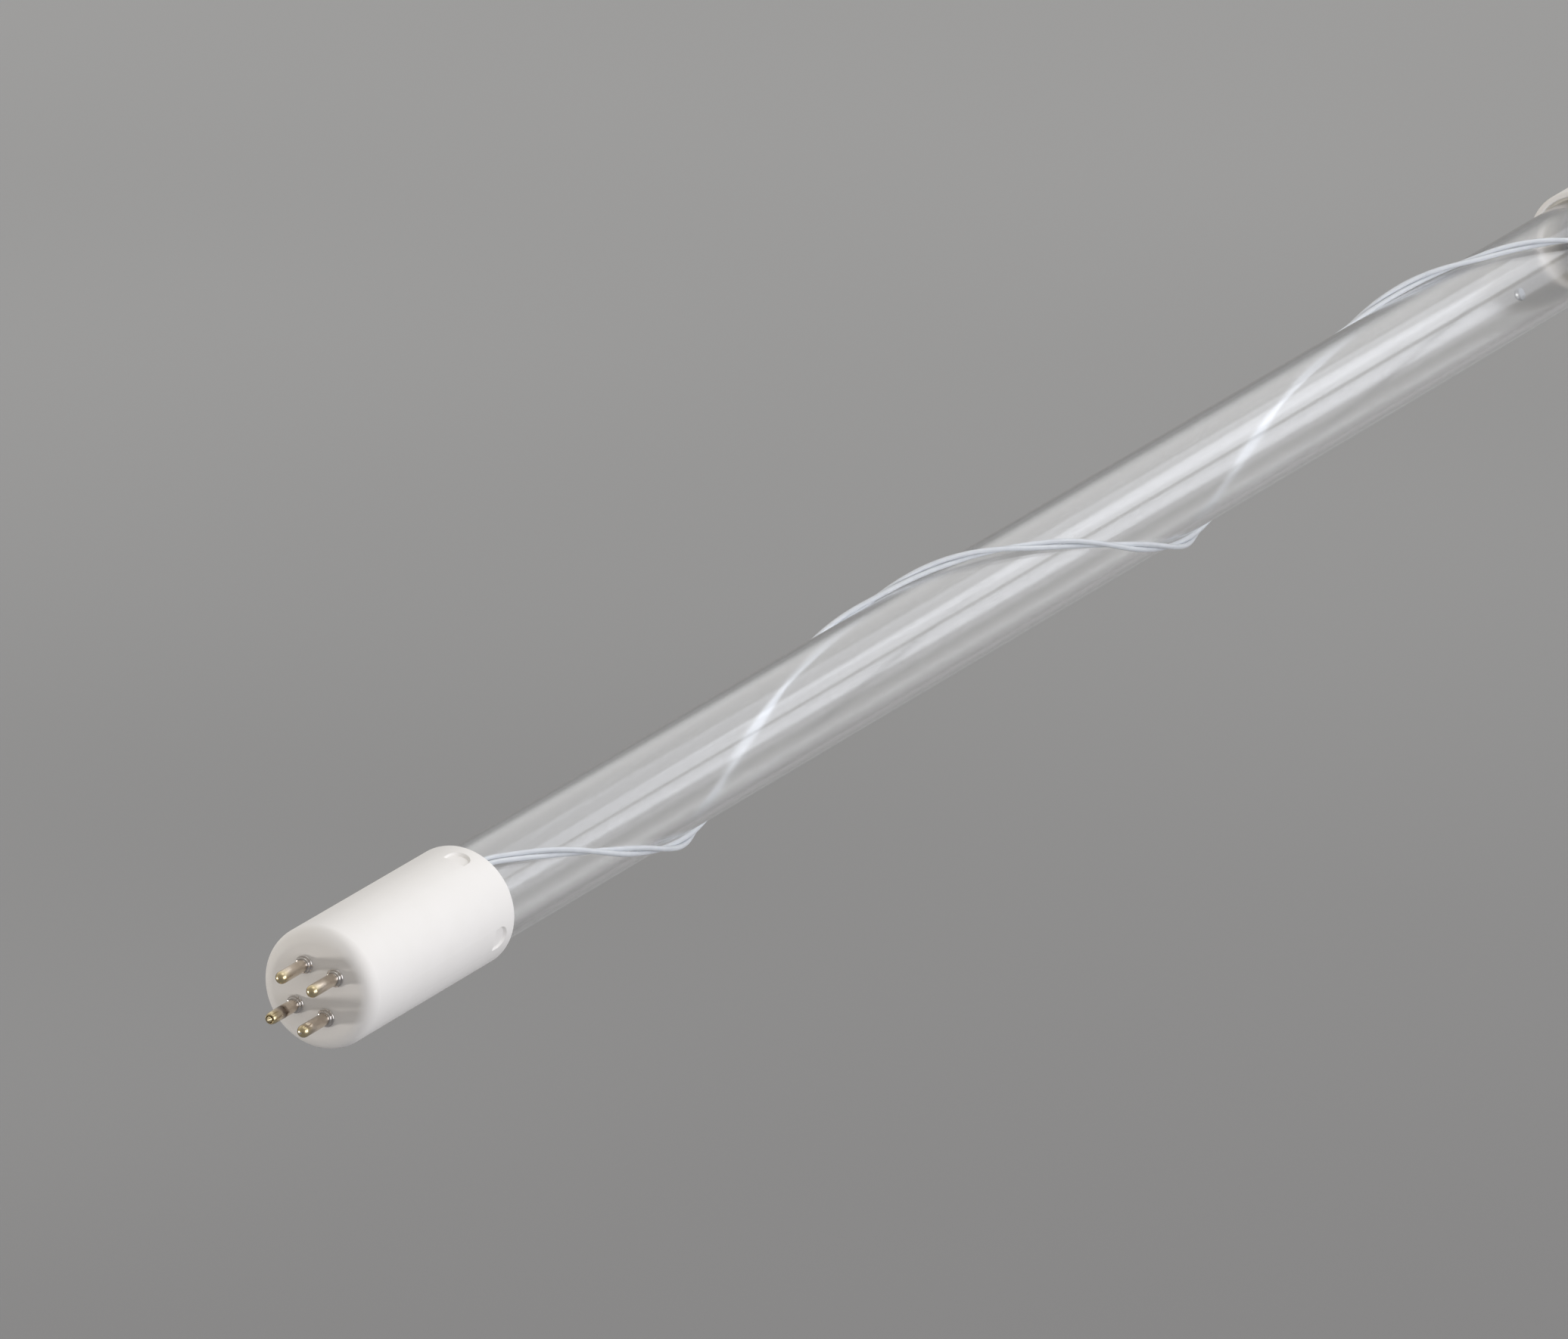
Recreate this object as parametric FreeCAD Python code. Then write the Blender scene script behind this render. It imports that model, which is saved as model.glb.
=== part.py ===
import FreeCAD, Part
import math
import os

# Single-ended germicidal lamp: a clear quartz tube between two ceramic caps.
# All four contact pins are on one cap, and two insulated wires, twisted round
# the tube, bring the current back from the far electrode.
# Millimetres. X runs from the pin cap's face along the lamp, Z is up.
# The origin is the centre of the flat face that the pins stand on.

Vec = FreeCAD.Vector
axis_x = Vec(1, 0, 0)
axis_y = Vec(0, 1, 0)
axis_z = Vec(0, 0, 1)

# lamp
overall_length = 554.0
lamp_roll = 13.7
pin_cap_length = 51.0
end_cap_length = 46.0

# ceramic caps
cap_wall = 1.2
cap_edge_radius = 2.8
cap_rim_chamfer = 0.3
pin_cap_floor = 5.0
end_cap_floor = 4.0
pin_cap_wiring_room = 13.0
end_cap_wiring_room = 9.0
wiring_space_diameter = 17.0
wiring_space_depth = 4.0
dimple_count = 4
dimple_floor_width = 3.7
dimple_floor_wall = 0.1
dimple_wall_angle = 45.0
dimple_straight_length = 2.4
dimple_from_rim = 4.9

# quartz tube
tube_diameter = 19.0
tube_wall = 1.1
cement_gap = 0.6
cement_length = 7.0
cement_setback = 0.8
cement_clearance = 0.01
pinch_width = 16.4
pinch_thickness = 3.6
pinch_length = 15.0
pinch_edge_radius = 0.8
shoulder_lead = 0.3
cavity_tip_thickness = 1.2

# contact pins, on the corners of a rectangle
pin_spacing_across = 6.35
pin_spacing_up = 7.92
pin_diameter = 2.3
pin_length = 9.2
pin_bore_diameter = 0.8
pin_closed_tip = 1.0
pin_hole_clearance = 0.05
pin_ring_diameter = 3.4
pin_ring_height = 0.6
pin_step_diameter = 2.9
pin_step_height = 0.5
pin_ring_chamfer = 0.15
pin_head_diameter = 3.0
pin_head_height = 0.6
pin_seat_clearance = 0.02
open_tip_bore = 1.5
open_tip_depth = 1.0
tip_dent_radius = 1.6
tip_dent_depth = 0.45
tip_dent_from_end = 1.9
wire_point_length = 0.9
wire_stop_from_tip = 1.3

# insulated return wires
wire_diameter = 1.0
wire_gap = 0.03
conductor_diameter = 0.5
helix_pitch = 213.4
helix_start_angle = 110.7
helix_sway_angle = 10.8
helix_sway_length = 446.0
helix_sway_start = 46.0
twist_half_turns = 11
points_per_half_turn = 5
twist_margin = 9.0
slot_side_clearance = 0.4
slot_depth_clearance = 0.1
pin_wire_run = 8.0

# leads, foils and electrodes, the same in both pinches
lead_diameter = 0.5
lead_spacing = 7.2
lead_bend_radius = 2.5
far_lead_bend_radius = 1.1
foil_length = 10.0
foil_width = 2.4
foil_thickness = 0.06
foil_from_end = 2.5
lead_on_foil = 2.0
seal_clearance = 0.01
outer_lead_straight = 1.5
pin_lead_straight = 3.5
electrode_from_end = 29.0
coil_diameter = 1.8
coil_wire_diameter = 0.34
coil_turns = 6
coil_points_per_turn = 6
coil_end_clearance = 0.02
crimp_wall = 0.3
crimp_length = 4.0
crimp_clearance = 0.02
crimp_from_floor = 1.2
crimp_over_plate = 0.3
far_bend_run = 3.4

# amalgam pellet, fused to the inside of the tube
amalgam_from_rim = 44.0
amalgam_angle = 146.6
amalgam_radius = 1.2
amalgam_sink = 0.45

arc_share = 0.45

# sizes that follow from the ones above
tube_radius = tube_diameter / 2
bore_radius = tube_radius + cement_gap
cap_radius = bore_radius + cap_wall
cavity_radius = tube_radius - tube_wall
shoulder_length = tube_radius - pinch_thickness / 2 + shoulder_lead
wire_radius = wire_diameter / 2
conductor_radius = conductor_diameter / 2
lead_radius = lead_diameter / 2
pin_radius = pin_diameter / 2
end_rim_x = overall_length - end_cap_length
pinch_near_x = pin_cap_floor + pin_cap_wiring_room
pinch_far_x = overall_length - end_cap_floor - end_cap_wiring_room
plate_near_x = pinch_near_x + pinch_length
plate_far_x = pinch_far_x - pinch_length
free_length = end_rim_x - pin_cap_length
lead_height = foil_thickness / 2 + lead_radius + seal_clearance
half_turn_length = (free_length - 2 * twist_margin) / twist_half_turns
twist_step = half_turn_length / points_per_half_turn
step_angle = math.pi / points_per_half_turn
helix_step_angle = math.radians(360.0 * twist_step / helix_pitch)
helix_tilt = math.atan(math.pi * (tube_diameter + wire_diameter) / helix_pitch)
strand_lift = (wire_diameter + wire_gap) / math.cos((step_angle + helix_step_angle) / 2)
strand_spread = strand_lift / math.cos(helix_tilt)
lay_radius = (tube_radius + wire_radius + wire_gap) / math.cos(helix_step_angle / 2)
slot_half_width = strand_spread / 2 + wire_radius + slot_side_clearance
slot_top_radius = lay_radius + wire_radius + slot_depth_clearance
dimple_depth = cap_radius - slot_top_radius - dimple_floor_wall


def circular(radius, centre, direction):
    return Part.Wire(Part.makeCircle(radius, centre, direction))


def rod(radius, start, end):
    run = end - start
    return Part.makeCylinder(radius, run.Length, start, run)


def revolved(points):
    # points are (station along X, radius), closed along the axis
    corners = [Vec(station, 0, radius) for station, radius in points]
    outline = Part.makePolygon(corners + [corners[0]])
    return Part.Face(outline).revolve(Vec(0, 0, 0), axis_x, 360)


def tangent_path(points, radii=None):
    # straight runs joined by tangent arcs; radii, where given, are the bend radii
    edges = []
    used = []
    here = points[0]
    for index in range(1, len(points) - 1):
        before = points[index] - points[index - 1]
        after = points[index + 1] - points[index]
        half_turn = before.getAngle(after) / 2
        reach = arc_share * min(before.Length, after.Length)
        if radii and radii[index]:
            reach = radii[index] * math.tan(half_turn)
        radius = reach / math.tan(half_turn)
        used.append(radius)
        before.normalize()
        after.normalize()
        inward = after - before
        inward.normalize()
        start = points[index] - before * reach
        end = points[index] + after * reach
        middle = points[index] + inward * (radius / math.cos(half_turn) - radius)
        edges.append(Part.LineSegment(here, start).toShape())
        edges.append(Part.Arc(start, middle, end).toShape())
        here = end
    edges.append(Part.LineSegment(here, points[-1]).toShape())
    return Part.Wire(edges), used


def swept(path, radius):
    first = path.OrderedEdges[0]
    start = first.valueAt(first.FirstParameter)
    along = first.tangentAt(first.FirstParameter)
    return path.makePipeShell([circular(radius, start, along)], True, False)


def route(points, radius, radii=None):
    path, used = tangent_path(points, radii)
    return swept(path, radius), path.Length, used


def lamp_point(station, angle, radius, sideways=0.0):
    # a point at a distance from the lamp's axis, sideways counts against the angle
    turn = math.radians(angle)
    outward = Vec(0, math.cos(turn), math.sin(turn))
    aside = Vec(0, math.sin(turn), -math.cos(turn))
    return Vec(station, 0, 0) + outward * radius + aside * sideways


def helix_angle(distance):
    # the wires' place round the tube, at a distance from the pin cap's rim
    sway = 2 * math.pi * (distance - helix_sway_start) / helix_sway_length
    return helix_start_angle + 360.0 * distance / helix_pitch - helix_sway_angle * math.cos(sway)


near_slot_angle = helix_angle(0.0)
far_slot_angle = helix_angle(free_length)


def end_frame(shape_or_point, far):
    # places something drawn from the pinch's end inwards, at the near or far end
    if far:
        turned = Part.Vertex(shape_or_point) if isinstance(shape_or_point, Vec) else shape_or_point
        turned = turned.copy()
        turned.rotate(Vec(0, 0, 0), axis_z, 180)
        turned.rotate(Vec(0, 0, 0), axis_x, far_slot_angle - 90)
        turned.translate(Vec(pinch_far_x, 0, 0))
        return turned.Point if isinstance(shape_or_point, Vec) else turned
    if isinstance(shape_or_point, Vec):
        return shape_or_point + Vec(pinch_near_x, 0, 0)
    placed = shape_or_point.copy()
    placed.translate(Vec(pinch_near_x, 0, 0))
    return placed


def shoulder_face(start, plate_end, full_at, length, half_end, half_full, across):
    # side or plan outline of a pinched tube: flat plate, round shoulder, full width
    rise = half_full - half_end
    run = full_at - plate_end
    bend = (run * run + rise * rise) / (2 * rise)
    turn = math.atan2(run, bend - rise) / 2

    def at(station, height):
        return Vec(station, 0, 0) + across * height

    middle_station = full_at - bend * math.sin(turn)
    middle_height = half_full - bend + bend * math.cos(turn)
    edges = []
    for side in (1, -1):
        bend_start = at(plate_end, side * half_end)
        if plate_end > start:
            edges.append(Part.LineSegment(at(start, side * half_end), bend_start).toShape())
        edges.append(Part.Arc(bend_start, at(middle_station, side * middle_height),
                              at(full_at, side * half_full)).toShape())
        edges.append(Part.LineSegment(at(full_at, side * half_full), at(length, side * half_full)).toShape())
    edges.append(Part.LineSegment(at(start, half_end), at(start, -half_end)).toShape())
    edges.append(Part.LineSegment(at(length, half_full), at(length, -half_full)).toShape())
    return Part.Face(Part.Wire(Part.__sortEdges__(edges)))


def pinched_half(radius, start, plate_end, length, half_width, half_thickness, edge_radius):
    full_at = pinch_length + shoulder_length
    depth = 2 * tube_diameter
    plan = shoulder_face(start, plate_end, full_at, length, half_width, radius, axis_y)
    side = shoulder_face(start, plate_end, full_at, length, half_thickness, radius, axis_z)
    plan = plan.extrude(axis_z * depth)
    plan.translate(axis_z * (-depth / 2))
    side = side.extrude(axis_y * depth)
    side.translate(axis_y * (-depth / 2))
    body = Part.makeCylinder(radius, length, Vec(0, 0, 0), axis_x)
    body = body.common(plan).common(side)
    if edge_radius:
        long_edges = [edge for edge in body.Edges
                      if abs(edge.Length - plate_end) < 0.01
                      and abs(edge.BoundBox.YLength) < 0.01
                      and abs(edge.BoundBox.ZLength) < 0.01]
        body = body.makeFillet(edge_radius, long_edges)
    return body


def envelope():
    half_length = (pinch_far_x - pinch_near_x) / 2
    outer = pinched_half(tube_radius, 0.0, pinch_length, half_length,
                         pinch_width / 2, pinch_thickness / 2, pinch_edge_radius)
    cavity_start = pinch_length + tube_wall
    cavity = pinched_half(cavity_radius, cavity_start, cavity_start, half_length,
                          pinch_width / 2 - tube_wall, cavity_tip_thickness / 2, 0.0)
    whole = end_frame(outer, False).fuse(end_frame(outer, True)).removeSplitter()
    inside = end_frame(cavity, False).fuse(end_frame(cavity, True)).removeSplitter()
    whole = whole.cut(inside)
    for far in (False, True):
        for side in (-1, 1):
            whole = whole.cut(end_frame(foil(side, seal_clearance), far))
            for start, end in embedded_leads():
                hole = rod(lead_radius + seal_clearance, lead_at(start, side), lead_at(end, side))
                whole = whole.cut(end_frame(hole, far))
    return whole


def lead_at(distance, side):
    return Vec(distance, side * lead_spacing / 2, lead_height)


def embedded_leads():
    outer = (-1.0, foil_from_end + lead_on_foil + seal_clearance)
    inner = (foil_from_end + foil_length - lead_on_foil - seal_clearance,
             pinch_length + shoulder_length)
    return outer, inner


def foil(side, clearance=0.0):
    # molybdenum ribbon that seals the lead through the quartz
    width = foil_width + 2 * clearance
    thickness = foil_thickness + 2 * clearance
    length = foil_length + 2 * clearance
    corner = Vec(foil_from_end - clearance, side * lead_spacing / 2 - width / 2, -thickness / 2)
    return Part.makeBox(length, width, thickness, corner)


def inner_lead(side):
    start = foil_from_end + foil_length - lead_on_foil
    return rod(lead_radius, lead_at(start, side), lead_at(electrode_from_end, side))


def pin_lead(side):
    # from the near foil to the open end of its contact pin
    foil_end = end_frame(lead_at(foil_from_end + lead_on_foil, side), False)
    leaves = end_frame(lead_at(-outer_lead_straight, side), False)
    enters = pin_point(side, -1, pin_cap_floor + pin_lead_straight)
    tip = pin_point(side, -1, -pin_length)
    points = [foil_end, leaves, enters, tip]
    body, length, used = route(points, lead_radius, [0, lead_bend_radius, lead_bend_radius, 0])
    if side > 0:
        point = Part.makeCone(lead_radius, lead_radius / 5, wire_point_length, tip, axis_x * -1)
        body = body.fuse(point).removeSplitter()
    return body


def far_lead(side):
    # from the far foil into the crimp sleeve
    foil_end = lead_at(foil_from_end + lead_on_foil, side)
    leaves = lead_at(-outer_lead_straight / 2, side)
    level = crimp_level() - conductor_diameter - wire_gap
    rises = Vec(-far_bend_run, side * lead_spacing / 2, level)
    ends = Vec(crimp_outer_end() + crimp_clearance, side * lead_spacing / 2, level)
    radii = [0, far_lead_bend_radius, far_lead_bend_radius, 0]
    body, length, used = route([foil_end, leaves, rises, ends], lead_radius, radii)
    return end_frame(body, True)


def crimp_level():
    # height of the return conductor where it passes over the far pinch
    return pinch_thickness / 2 + conductor_radius + crimp_over_plate


def crimp_outer_end():
    return crimp_from_floor - end_cap_wiring_room


def crimp_sleeve(side):
    # short oval tube pressed over the far lead and the return conductor
    low = Vec(crimp_outer_end(), side * lead_spacing / 2, crimp_level() - conductor_diameter - wire_gap)
    high = Vec(crimp_outer_end(), side * lead_spacing / 2, crimp_level())

    def oval(radius):
        middle = Part.makeBox(crimp_length, 2 * radius, high.z - low.z, low - axis_y * radius)
        lower = Part.makeCylinder(radius, crimp_length, low, axis_x)
        upper = Part.makeCylinder(radius, crimp_length, high, axis_x)
        return lower.fuse(upper).fuse(middle).removeSplitter()

    hole_radius = max(lead_radius, conductor_radius) + crimp_clearance
    return end_frame(oval(hole_radius + crimp_wall).cut(oval(hole_radius)), True)


def electrode(far):
    # open tungsten coil between the two inner leads, its turns bent in short straight runs
    half_span = lead_spacing / 2 - lead_radius - coil_end_clearance
    mean_radius = (coil_diameter - coil_wire_diameter) / 2
    count = coil_turns * coil_points_per_turn
    reach = half_span - coil_wire_diameter / 2
    points = []
    for index in range(count + 1):
        turn = 2 * math.pi * index / coil_points_per_turn
        along = -reach + 2 * reach * index / count
        centre = Vec(electrode_from_end - coil_diameter / 2, along, lead_height)
        points.append(centre + Vec(-mean_radius * math.cos(turn), 0, mean_radius * math.sin(turn)))
    start = circular(coil_wire_diameter / 2, points[0], points[1] - points[0])
    mitred = 1
    body = Part.makePolygon(points).makePipeShell([start], True, False, mitred)
    return end_frame(body, far)


def strand_point(distance, turn, strand):
    # one strand of the pair: side by side on the tube, or riding over the other
    lift = max(0.0, strand * math.sin(turn)) * strand_lift
    aside = strand * math.cos(turn) * strand_spread / 2
    return lamp_point(pin_cap_length + distance, helix_angle(distance), lay_radius + lift, aside)


def return_wire(strand):
    side = strand
    pin_start = pin_point(side, 1, wire_stop_from_tip - pin_length)
    pin_leaves = pin_point(side, 1, pin_cap_floor + pin_wire_run)
    slot_offset = strand * strand_spread / 2
    slot_starts = lamp_point(plate_near_x, near_slot_angle, lay_radius, slot_offset)
    points = [pin_start, pin_leaves, slot_starts, strand_point(0.0, 0.0, strand)]
    count = twist_half_turns * points_per_half_turn
    for index in range(count + 1):
        points.append(strand_point(twist_margin + index * twist_step, index * step_angle, strand))
    last_turn = count * step_angle
    last_side = strand * math.cos(last_turn)
    points.append(strand_point(free_length, last_turn, strand))
    points.append(lamp_point(plate_far_x, far_slot_angle, lay_radius, last_side * strand_spread / 2))
    over_plate = Vec(far_bend_run, -last_side * lead_spacing / 2, crimp_level())
    in_sleeve = Vec(crimp_outer_end() + crimp_clearance, -last_side * lead_spacing / 2, crimp_level())
    points.append(end_frame(over_plate, True))
    points.append(end_frame(in_sleeve, True))
    path, used = tangent_path(points)
    edges = path.OrderedEdges
    bare_start = edges[:bare_edges(edges)]
    bare_end = edges[len(edges) - bare_edges(edges[::-1]):]
    covered = edges[len(bare_start):len(edges) - len(bare_end)]
    pieces = []
    for run, radius in ((bare_start, conductor_radius), (covered, wire_radius),
                        (bare_end, conductor_radius)):
        piece = swept(Part.Wire(run), radius)
        length = sum(edge.Length for edge in run)
        section = math.pi * radius * radius
        print("strand", strand, "radius", radius, "length", round(length, 2), "volume",
              round(piece.Volume, 3), "section x length", round(section * length, 3))
        pieces.append(piece)
    print("strand", strand, "smallest bend radius", round(min(used), 2), "length", round(path.Length, 1))
    return pieces[1].fuse([pieces[0], pieces[2]])


def bare_edges(edges):
    # the straight end run and the first bend are stripped
    return 2


def pin_point(across, up, station):
    return Vec(station, across * pin_spacing_across / 2, up * pin_spacing_up / 2)


def contact_pin(across, up):
    # turned pin: riveted head inside, double ring on the face, round hollow tip
    head_start = pin_cap_floor + pin_seat_clearance
    ring_radius = pin_ring_diameter / 2
    step_radius = pin_step_diameter / 2
    step_end = pin_ring_height + pin_step_height
    profile = [
        (head_start + pin_head_height, 0.0),
        (head_start + pin_head_height, pin_head_diameter / 2),
        (head_start, pin_head_diameter / 2),
        (head_start, pin_radius),
        (-pin_seat_clearance, pin_radius),
        (-pin_seat_clearance, ring_radius - pin_ring_chamfer),
        (-pin_seat_clearance - pin_ring_chamfer, ring_radius),
        (pin_ring_chamfer - pin_ring_height, ring_radius),
        (-pin_ring_height, ring_radius - pin_ring_chamfer),
        (-pin_ring_height, step_radius),
        (pin_ring_chamfer - step_end, step_radius),
        (-step_end, step_radius - pin_ring_chamfer),
        (-step_end, pin_radius),
        (-pin_length, pin_radius),
        (-pin_length, 0.0),
    ]
    body = revolved(profile)
    tip_ball = Part.makeSphere(pin_radius, Vec(pin_radius - pin_length, 0, 0))
    tip_blank = Part.makeCylinder(pin_diameter, pin_radius, Vec(-pin_length, 0, 0), axis_x)
    body = body.cut(tip_blank.cut(tip_ball))
    bore_end = pin_closed_tip - pin_length
    if up < 0:
        bore_end = -pin_length - 1.0
    bore_start = Vec(head_start + pin_head_height + 1.0, 0, 0)
    body = body.cut(rod(pin_bore_diameter / 2, bore_start, Vec(bore_end, 0, 0)))
    if up < 0 and across > 0:
        mouth = rod(open_tip_bore / 2, Vec(-pin_length - 1.0, 0, 0), Vec(open_tip_depth - pin_length, 0, 0))
        body = body.cut(mouth)
    if up < 0 and across < 0:
        centre = Vec(tip_dent_from_end - pin_length, 0, pin_radius + tip_dent_radius - tip_dent_depth)
        body = body.cut(Part.makeSphere(tip_dent_radius, centre))
    body.translate(pin_point(across, up, 0.0))
    return body


def cap_body(length, floor, slot_angle):
    # pressed steatite cap, its floor at X = 0 and its rim at X = length
    space_end = floor + wiring_space_depth
    profile = [
        (0.0, 0.0),
        (0.0, cap_radius),
        (length - cap_rim_chamfer, cap_radius),
        (length, cap_radius - cap_rim_chamfer),
        (length, bore_radius + cap_rim_chamfer),
        (length - cap_rim_chamfer, bore_radius),
        (space_end, bore_radius),
        (space_end, wiring_space_diameter / 2),
        (floor, wiring_space_diameter / 2),
        (floor, 0.0),
    ]
    body = revolved(profile)
    face_edge = [edge for edge in body.Edges if edge.Closed and edge.BoundBox.XMax < 0.001
                 and abs(edge.BoundBox.ZLength / 2 - cap_radius) < 0.001]
    body = body.makeFillet(cap_edge_radius, face_edge)
    run = length - space_end + 1.0
    slot = Part.makeBox(run, 2 * slot_half_width, cap_radius, Vec(space_end, -slot_half_width, 0))
    slot = slot.common(Part.makeCylinder(slot_top_radius, run, Vec(space_end, 0, 0), axis_x))
    slot.rotate(Vec(0, 0, 0), axis_x, slot_angle - 90)
    return body.cut(slot)


def dimple(angle):
    # moulded pocket with a flat floor and sloping walls, round towards the rim
    floor_half = dimple_floor_width / 2
    rise = 2 * dimple_depth
    spread = rise / math.tan(math.radians(dimple_wall_angle))
    floor_level = cap_radius - dimple_depth
    centre = Vec(pin_cap_length - dimple_from_rim, 0, floor_level)
    round_end = Part.makeCone(floor_half, floor_half + spread, rise, centre, axis_z)
    corners = [
        centre + axis_y * floor_half,
        centre + axis_y * (floor_half + spread) + axis_z * rise,
        centre - axis_y * (floor_half + spread) + axis_z * rise,
        centre - axis_y * floor_half,
    ]
    section = Part.Face(Part.makePolygon(corners + [corners[0]]))
    pocket = round_end.fuse(section.extrude(axis_x * -dimple_straight_length))
    pocket.rotate(Vec(0, 0, 0), axis_x, angle - 90)
    return pocket


def pin_cap():
    body = cap_body(pin_cap_length, pin_cap_floor, near_slot_angle)
    for across in (-1, 1):
        for up in (-1, 1):
            hole = rod(pin_radius + pin_hole_clearance, pin_point(across, up, -1.0),
                       pin_point(across, up, pin_cap_floor + 1.0))
            body = body.cut(hole)
    for index in range(dimple_count):
        body = body.cut(dimple(90.0 + 360.0 * index / dimple_count))
    return body


def end_cap():
    body = cap_body(end_cap_length, end_cap_floor, 180.0 - far_slot_angle)
    body.rotate(Vec(0, 0, 0), axis_z, 180)
    body.translate(Vec(overall_length, 0, 0))
    return body


def cement(start, slot_angle):
    # basing cement between the cap's bore and the tube, open where the wires pass
    outer = Part.makeCylinder(bore_radius - cement_clearance, cement_length, Vec(start, 0, 0), axis_x)
    inner = Part.makeCylinder(tube_radius + cement_clearance, cement_length, Vec(start, 0, 0), axis_x)
    gap = Part.makeBox(cement_length, 2 * slot_half_width, cap_radius, Vec(start, -slot_half_width, 0))
    gap.rotate(Vec(0, 0, 0), axis_x, slot_angle - 90)
    return outer.cut(inner).cut(gap)


def amalgam():
    # fused pellet that feeds mercury to the discharge
    amalgam_station = end_rim_x - amalgam_from_rim
    centre = lamp_point(amalgam_station, amalgam_angle, cavity_radius - amalgam_sink)
    pellet = Part.makeSphere(amalgam_radius, centre)
    room = Part.makeCylinder(cavity_radius - seal_clearance, 4 * amalgam_radius,
                             Vec(amalgam_station - 2 * amalgam_radius, 0, 0), axis_x)
    return pellet.common(room)


nodes = {
    "quartz_tube": envelope(),
    "pin_cap": pin_cap(),
    "end_cap": end_cap(),
    "contact_pin_1": contact_pin(1, 1),
    "contact_pin_2": contact_pin(-1, 1),
    "contact_pin_3": contact_pin(1, -1),
    "contact_pin_4": contact_pin(-1, -1),
    "return_wire_1": return_wire(1),
    "return_wire_2": return_wire(-1),
    "near_cement": cement(pin_cap_length - cement_setback - cement_length, near_slot_angle),
    "far_cement": cement(end_rim_x + cement_setback, far_slot_angle),
    "near_electrode": electrode(False),
    "far_electrode": electrode(True),
    "amalgam_pellet": amalgam(),
}
for number, side in ((1, 1), (2, -1)):
    nodes["near_foil_%d" % number] = end_frame(foil(side), False)
    nodes["far_foil_%d" % number] = end_frame(foil(side), True)
    nodes["near_inner_lead_%d" % number] = end_frame(inner_lead(side), False)
    nodes["far_inner_lead_%d" % number] = end_frame(inner_lead(side), True)
    nodes["pin_lead_%d" % number] = pin_lead(side)
    nodes["far_lead_%d" % number] = far_lead(side)
    nodes["crimp_sleeve_%d" % number] = crimp_sleeve(side)

os.makedirs("parts", exist_ok=True)
for name, shape in nodes.items():
    placed = shape.copy()
    placed.rotate(Vec(0, 0, 0), axis_x, lamp_roll)
    placed.exportStep("parts/%s.step" % name)
    print(name, "solids", len(placed.Solids), "valid", placed.isValid(), "volume", round(placed.Volume, 2))
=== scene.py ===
import bpy
import math
from mathutils import Matrix, Quaternion, Vector


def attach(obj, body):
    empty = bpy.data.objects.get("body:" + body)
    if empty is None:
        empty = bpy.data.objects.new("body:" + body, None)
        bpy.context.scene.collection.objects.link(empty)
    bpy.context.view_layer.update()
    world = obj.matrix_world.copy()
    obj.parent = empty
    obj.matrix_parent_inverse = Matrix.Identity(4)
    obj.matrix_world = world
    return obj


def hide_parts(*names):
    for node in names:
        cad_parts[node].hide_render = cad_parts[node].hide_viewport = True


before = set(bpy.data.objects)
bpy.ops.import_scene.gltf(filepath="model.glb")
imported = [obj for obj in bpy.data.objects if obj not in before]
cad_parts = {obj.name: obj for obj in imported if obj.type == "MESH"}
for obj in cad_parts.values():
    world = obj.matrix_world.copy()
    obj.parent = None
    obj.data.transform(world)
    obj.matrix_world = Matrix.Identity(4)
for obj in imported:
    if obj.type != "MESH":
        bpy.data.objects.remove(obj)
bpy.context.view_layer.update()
print("frame loaded:", len(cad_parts), "nodes")

mm = 0.001
touching = 0.01 * mm        # what lies this near to a plane counts as on it


def hexColor(code):
    # sRGB hex to the linear colour that shaders take
    channels = [int(code[i:i + 2], 16) / 255 for i in (1, 3, 5)]
    return [c / 12.92 if c <= 0.04045 else ((c + 0.055) / 1.055) ** 2.4 for c in channels] + [1.0]


def addNode(tree, kind, settings=None, inputs=None):
    # one node with its properties, and its inputs set or linked
    node = tree.nodes.new(kind)
    for key, value in (settings or {}).items():
        setattr(node, key, value)
    for key, value in (inputs or {}).items():
        if isinstance(value, bpy.types.NodeSocket):
            tree.links.new(value, node.inputs[key])
        else:
            node.inputs[key].default_value = value
    return node


def newMaterial(name):
    # an empty node tree with its output, and the Object coordinates
    material = bpy.data.materials.new(name)
    material.use_nodes = True
    tree = material.node_tree
    tree.nodes.clear()
    output = addNode(tree, "ShaderNodeOutputMaterial")
    coords = addNode(tree, "ShaderNodeTexCoord")
    return material, tree, output, coords.outputs["Object"]


def scaleFor(width):
    # a pattern's scale, from the width of its features in millimetres
    return 1 / (width * mm)


def deselectAll():
    if bpy.context.object and bpy.context.object.mode != "OBJECT":
        bpy.ops.object.mode_set(mode="OBJECT")
    bpy.ops.object.select_all(action="DESELECT")


def activate(piece):
    deselectAll()
    piece.select_set(True)
    bpy.context.view_layer.objects.active = piece


def pick(piece, kind, test):
    # edit mode with just the faces, edges or points selected that pass the test
    activate(piece)
    bpy.ops.object.mode_set(mode="EDIT")
    bpy.ops.mesh.select_mode(type=kind)
    bpy.ops.mesh.select_all(action="DESELECT")
    bpy.ops.object.mode_set(mode="OBJECT")
    mesh = piece.data
    if kind == "FACE":
        for face in mesh.polygons:
            face.select = test(face.center, face.normal)
    elif kind == "EDGE":
        for edge in mesh.edges:
            edge.select = all(test(mesh.vertices[index].co) for index in edge.vertices)
    else:
        for vertex in mesh.vertices:
            vertex.select = test(vertex.co)
    bpy.ops.object.mode_set(mode="EDIT")


def drawOut(along, upwards=0.0):
    # extrude what is selected, in millimetres along X and Z
    move = (along * mm, 0, upwards * mm)
    bpy.ops.mesh.extrude_region_move(TRANSFORM_OT_translate={"value": move})


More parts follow.
